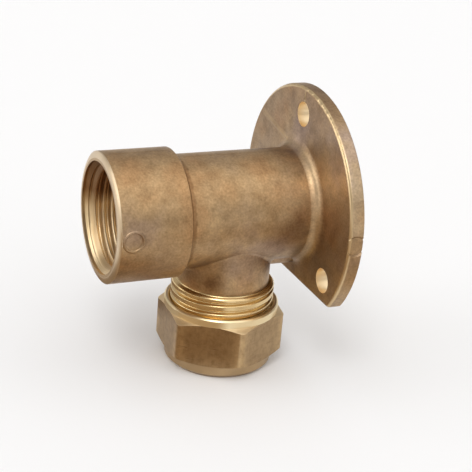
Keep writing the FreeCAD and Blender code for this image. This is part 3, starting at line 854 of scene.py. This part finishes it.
def pin_circle(x, y):
    """Points round the edge of a pin, at a level along X and about a middle along Y."""
    angles = [2 * math.pi * step / PIN_STEPS for step in range(PIN_STEPS)]
    return [(x, y + PIN_R * math.cos(angle), PIN_R * math.sin(angle)) for angle in angles]


for name, level, along in PIN_FLATS:
    pin = swept(name, [pin_circle(level, along), pin_circle(level + PIN_REACH, along)])
    combine(body, pin, "DIFFERENCE")


def on_socket(height):
    """The level of the socket's round surface at a height."""
    return math.sqrt(SOCKET_R ** 2 - height ** 2)


def on_rim_flat(height):
    """The level of the flat on the rim, which is the same at every height."""
    return RIM_PIN_X


def pin_trail(name, section, along, level_at):
    """A section run round a pin's circle, counted from a surface whose level depends on the height."""
    rows = []
    for step in range(PIN_STEPS):
        angle = 2 * math.pi * step / PIN_STEPS
        row = []
        for across, rise in section:
            reach = PIN_R + across * MM
            height = reach * math.sin(angle)
            row.append((level_at(height) + rise * MM, along + reach * math.cos(angle), height))
        rows.append(row)
    return swept(name, rows, closed=True)


combine(body, pin_trail("pin_ring", PIN_RING, SOCKET_PIN_Y, on_socket), "UNION")
combine(body, pin_trail("rim_groove", RIM_GROOVE, RIM_PIN_Y, on_rim_flat), "DIFFERENCE")
print("cut", [flat[0] for flat in PIN_FLATS], "with a raised ring and a groove")

# %% [markdown]
# Where the two halves of the die met, some metal was squeezed out and then trimmed. It
# leaves a faint seam along the top of socket and barrel and on the flange, and a ragged
# front edge at the top of the flange. A straight crease crosses the flange's face as well.
# The seam and the crease are low ridges with a flat triangle as their section. The ragged
# edge is a sliver along the rounded front edge, and seeded noise sets how far it fills the
# rounding.

# %% Seam, crease and ragged edge
SUNK = 0.25 * MM
SEAM_HALF = 0.22 * MM
SEAM_RISE = 0.06 * MM
BARREL_R = 11.2 * MM
# Share of a ridge's length at which it has risen, and of its half width at which its slope begins
RIDGE_RISEN = 0.12
RIDGE_SHOULDER = 0.9
# Each ridge: its two ends on the surface, the way it rises, its half width and its rise
RIDGES = [
    ("socket_seam", (0, -43.2, SOCKET_R / MM), (0, -30.4, SOCKET_R / MM), (0, 0, 1), SEAM_HALF, SEAM_RISE),
    ("barrel_seam", (0, -29.2, BARREL_R / MM), (0, -5.6, BARREL_R / MM), (0, 0, 1), SEAM_HALF, SEAM_RISE),
    ("flange_seam", (0, -3.04, 21.3), (0, -3.04, 23.1), (0, -1, 0), 0.35 * MM, 0.14 * MM),
    ("face_crease", (-18.2, -3.04, 13.6), (-3.2, -3.04, 10.85), (0, -1, 0), 0.6 * MM, 0.18 * MM),
]


def ridge(name, start, end, rise_way, half, rise):
    """A low triangular ridge between two points, sunk into the surface and flat at its ends."""
    first, last = Vector(start) * MM, Vector(end) * MM
    upward = Vector(rise_way)
    sideways = (last - first).cross(upward).normalized()
    sections = []
    sunk_end = -SUNK / 2
    foot = upward * SUNK
    shoulder = sideways * half * RIDGE_SHOULDER
    shoulder_drop = upward * SUNK / 8
    levels = ((0.0, sunk_end), (RIDGE_RISEN, rise), (1 - RIDGE_RISEN, rise), (1.0, sunk_end))
    for share, height in levels:
        middle = first.lerp(last, share)
        sections.append([
            middle - sideways * half - foot,
            middle + sideways * half - foot,
            middle + shoulder - shoulder_drop,
            middle + upward * height,
            middle - shoulder - shoulder_drop,
        ])
    return swept(name, sections)


for ridge_values in RIDGES:
    combine(body, ridge(*ridge_values), "UNION")

EDGE_ROUND = 0.8 * MM
EDGE_FROM, EDGE_TO, EDGE_STEPS = 40, 118, 150
EDGE_NOISE = 0.23
# A finer noise on top: times as fine, its share, and the row it is read from
FINE_TIMES, FINE_SHARE, FINE_ROW = 3, 0.5, 7.0
EDGE_FILL = 0.28 * MM
EDGE_MEAN, EDGE_SWING = 0.55, 0.8
EDGE_TAPER = 6
EDGE_SUNK = 0.1 * MM
EDGE_SKIN = 0.03 * MM
DIAGONAL = math.sqrt(0.5)
edge_middle = EDGE_ROUND * (1 - DIAGONAL)
edge_sections = []
for step in range(EDGE_STEPS + 1):
    share = step / EDGE_STEPS
    angle = math.radians(EDGE_FROM + (EDGE_TO - EDGE_FROM) * share)
    taper = min(1.0, EDGE_TAPER * share, EDGE_TAPER * (1 - share))
    broad = noise.noise(Vector((step * EDGE_NOISE, 0.0, 0.0)))
    fine = noise.noise(Vector((step * EDGE_NOISE * FINE_TIMES, FINE_ROW, 0.0)))
    wave = broad + FINE_SHARE * fine
    fill = taper * EDGE_FILL * (EDGE_MEAN + EDGE_SWING * wave) - (1 - taper) * EDGE_SUNK
    outline = [
        (FLANGE_R - 2 * EDGE_ROUND, FLANGE_FACE_Y + EDGE_ROUND),
        (FLANGE_R - EDGE_ROUND, FLANGE_FACE_Y + EDGE_SKIN),
        (FLANGE_R - edge_middle + fill * DIAGONAL, FLANGE_FACE_Y + edge_middle - fill * DIAGONAL),
        (FLANGE_R - EDGE_SKIN, FLANGE_FACE_Y + EDGE_ROUND),
    ]
    edge_sections.append([(radius * math.cos(angle), y, radius * math.sin(angle)) for radius, y in outline])
combine(body, swept("ragged_edge", edge_sections), "UNION")
print(f"body has {len(body.data.polygons)} faces after the forging marks")

# %% [markdown]
# ## Dressing the body
#
# Forged and cut surfaces meet along clear edges, so each face gets its finish from where it
# lies: inside the socket, on its mouth, on the branch below the neck, in a screw hole, or
# on the back of the flange. All the rest is forged skin.

# %% Give each face of the body its finish
FORGED, SOCKET_CUT, BRANCH_CUT, DRILLED, LIP_CUT, RIM_CUT, THREAD_CUT = range(len(body_finishes))
MOUTH_R = MALE_CREST_R + 0.45 * MM
BRANCH_SHOULDER_Z = -15.28 * MM
HOLE_R = mounts["top_screw"]["dims"]["r_mm"] * MM
HOLE_CIRCLE_R = mounts["top_screw"]["pos_m"][2]
PAIR_HALF = mounts["screw_pair"]["dims"]["spacing_x_mm"] * MM / 2
PAIR_Z = mounts["screw_pair"]["pos_m"][2]
HOLES = [(0.0, HOLE_CIRCLE_R), (PAIR_HALF, PAIR_Z), (-PAIR_HALF, PAIR_Z)]
NEAR = 0.05 * MM
SOCKET_BEYOND = 4 * MM
BRANCH_BORE_LIMIT_R = CORE_R - 1.5 * MM
FACING_OUT = -0.999
LEVEL_SQUARED = 0.9
BODY_SHARP_ANGLE = math.radians(50)


def finish_of(centre, normal):
    """Which finish a face of the body has."""
    in_hole = any(
        math.hypot(centre.x - x, centre.z - z) < HOLE_R + NEAR and FLANGE_FACE_Y + NEAR < centre.y < -NEAR
        for x, z in HOLES
    )
    if in_hole:
        return DRILLED
    in_socket = from_main_axis(centre) < MOUTH_R and centre.y < MOUTH_Y + CORE_LENGTH + SOCKET_BEYOND
    on_back = centre.y > -NEAR
    on_rim = normal.y < FACING_OUT and centre.y < MOUTH_Y + NEAR
    if on_rim:
        return RIM_CUT
    if in_socket:
        return SOCKET_CUT if centre.y < MOUTH_Y + MOUTH_DEPTH - NEAR else THREAD_CUT
    if on_back or centre.y < lip_end_y + NEAR:
        return LIP_CUT
    below_neck = centre.z < BRANCH_SHOULDER_Z and from_branch_axis(centre) < MALE_CREST_R + NEAR
    on_wall = normal.z ** 2 < LEVEL_SQUARED
    in_branch = from_branch_axis(centre) < BRANCH_BORE_LIMIT_R and on_wall and centre.z < 0
    if below_neck or in_branch:
        return BRANCH_CUT
    return FORGED


body.data.materials.clear()
for finish in body_finishes:
    body.data.materials.append(finish)
for face in body.data.polygons:
    face.material_index = finish_of(face.center, face.normal)
shade(body, BODY_SHARP_ANGLE)
faces_of = [face.material_index for face in body.data.polygons]
print("faces by finish:", {finish.name: faces_of.count(i) for i, finish in enumerate(body_finishes)})

# %% [markdown]
# Cutting leaves long thin triangles, and shading that is averaged over them shows as dark
# streaks. But on a turned or flat surface the true direction is known: it points straight
# away from the axis, along the plane's own normal, or away from the middle of a rounding. So
# each surface is a small function that tells how far a point lies off it and which way it
# faces there, and every corner of a face that lies on one takes that direction.

# %% True directions on round and flat surfaces
NECK_R = 9.3 * MM
MOUTH_BORE_R = 10.8975 * MM
MOUTH_BORE_DEPTH = 0.6 * MM
TRIM_Z = -15.5 * MM
ROOT_ROUND = 2.2 * MM
ON_SURFACE = 0.03 * MM
SAME_WAY = 0.97


def round_wall(centre, axis, radius, side):
    """A cylinder, seen from outside with side 1 or from inside with side -1."""
    def surface(point):
        offset = point - Vector(centre)
        spoke = offset - Vector(axis) * offset.dot(Vector(axis))
        return spoke.length - radius, spoke.normalized() * side
    return surface


def flat_face(way, level):
    """A plane that faces one way at a level along it."""
    def surface(point):
        return point.dot(Vector(way)) - level, Vector(way)
    return surface


def rounding(ring_r, ring_y, radius, side):
    """A rounded edge (side 1) or hollow corner (side -1) that runs round the main axis."""
    def surface(point):
        spoke = Vector((point.x, 0, point.z)).normalized()
        offset = point - spoke * ring_r - Vector((0, ring_y, 0))
        return offset.length - radius, offset.normalized() * side
    return surface


def mouth_slope(point):
    """The slope of 45 degrees that leads from the mouth into the thread."""
    spoke = Vector((point.x, 0, point.z))
    depth = point.y - MOUTH_Y
    miss = spoke.length + depth - MOUTH_BORE_R - MOUTH_BORE_DEPTH
    return miss, (Vector((0, -1, 0)) - spoke.normalized()).normalized()


SURFACES = [round_wall(MAIN_CENTRE, MAIN_AXIS, radius, 1) for radius in (SOCKET_R, BARREL_R, FLANGE_R)]
SURFACES += [round_wall(MAIN_CENTRE, MAIN_AXIS, radius, -1) for radius in (MOUTH_BORE_R, CORE_R)]
SURFACES += [round_wall((x, 0, z), MAIN_AXIS, HOLE_R, -1) for x, z in HOLES]
SURFACES += [round_wall(BRANCH_CENTRE, BRANCH_AXIS, radius, 1) for radius in (NECK_R, MALE_CREST_R)]
SURFACES += [flat_face((0, -1, 0), -level) for level in (FLANGE_FACE_Y, MOUTH_Y)]
SURFACES += [flat_face((0, 1, 0), 0.0), flat_face((0, 0, -1), -TRIM_Z)]
SURFACES += [flat_face((1, 0, 0), level) for _, level, _ in PIN_FLATS]
SURFACES += [
    rounding(BARREL_R + ROOT_ROUND, FLANGE_FACE_Y - ROOT_ROUND, ROOT_ROUND, -1),
    rounding(FLANGE_R - EDGE_ROUND, FLANGE_FACE_Y + EDGE_ROUND, EDGE_ROUND, 1),
    mouth_slope,
]


def directions_on(points, surface):
    """The true directions at some points, or none if a point lies off the surface."""
    found = []
    for point in points:
        miss, way = surface(point)
        if abs(miss) > ON_SURFACE:
            return None
        found.append(way)
    return found


def set_true_directions(piece):
    """Sets exact directions on a piece's known surfaces, and counts their faces."""
    mesh = piece.data
    directions = [corner.vector.copy() for corner in mesh.corner_normals]
    changed = 0
    for face in mesh.polygons:
        points = [mesh.vertices[index].co for index in face.vertices]
        for surface in SURFACES:
            found = directions_on(points, surface)
            if found and all(face.normal.dot(way) > SAME_WAY for way in found):
                changed += 1
                for corner, way in zip(face.loop_indices, found):
                    directions[corner] = way
                break
    mesh.normals_split_custom_set(directions)
    return changed


print("faces with true directions:", set_true_directions(body), "of", len(body.data.polygons))
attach(body, "elbow")
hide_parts("elbow_body")

# %% [markdown]
# ## The nut
#
# A machinist breaks every sharp edge of a nut, and those thin bevels catch the light. The
# Bevel modifier finds them by their angle. The upper collar and its slopes are bright, the
# six flats keep the skin of the bar, and both end faces are turned too but have gone dull.

# %% Bevel and dress the nut
NUT_BEVEL = 0.12 * MM
FLAT_LEVEL = 0.05
NUT_FLAT_R = 11.5 * MM
UPPER_PART = 0.62
COLLAR_HEIGHT = 1.6 * MM
TOP_LEVEL = 0.9
NUT_BEVEL_SEGMENTS = 2
NUT_BEVEL_ANGLE = math.radians(30)
NUT_SHARP_ANGLE = math.radians(40)

nut = working_copy("compression_nut", "hexagon_nut")
edges = nut.modifiers.new("edges", "BEVEL")
edges.width = NUT_BEVEL
edges.segments = NUT_BEVEL_SEGMENTS
edges.limit_method = "ANGLE"
edges.angle_limit = NUT_BEVEL_ANGLE
settle(nut)
nut.data.materials.clear()
nut_finishes = (drawn_bar, nut_collar_cut, nut_slope_cut, nut_end_cut)
DRAWN, COLLAR_CUT, SLOPE_CUT, END_CUT = range(len(nut_finishes))
for finish in nut_finishes:
    nut.data.materials.append(finish)
upper_z = nut_low.z + UPPER_PART * (nut_high.z - nut_low.z)
collar_z = nut_high.z - COLLAR_HEIGHT


def nut_finish_of(centre, normal):
    """Which finish a face of the nut has."""
    on_top = centre.z > collar_z and normal.z > TOP_LEVEL
    if on_top or (centre.z < upper_z and abs(normal.z) > FLAT_LEVEL):
        return END_CUT
    if centre.z < collar_z and from_branch_axis(centre) > NUT_FLAT_R - NEAR:
        return DRAWN if abs(normal.z) < FLAT_LEVEL else SLOPE_CUT
    return COLLAR_CUT if centre.z > upper_z else END_CUT


for face in nut.data.polygons:
    face.material_index = nut_finish_of(face.center, face.normal)
shade(nut, NUT_SHARP_ANGLE)
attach(nut, "nut")
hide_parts("compression_nut")
print(f"nut has {len(nut.data.polygons)} faces")

# %% [markdown]
# ## The ring
#
# The compression ring sits out of sight inside the nut. Its solid is right as it is, so it
# stays and only gets the turned finish.

# %% Dress the ring
ring = frame["nodes"]["compression_ring"]
ring.data.materials.clear()
ring.data.materials.append(branch_cut)
print("ring dressed with", branch_cut.name)
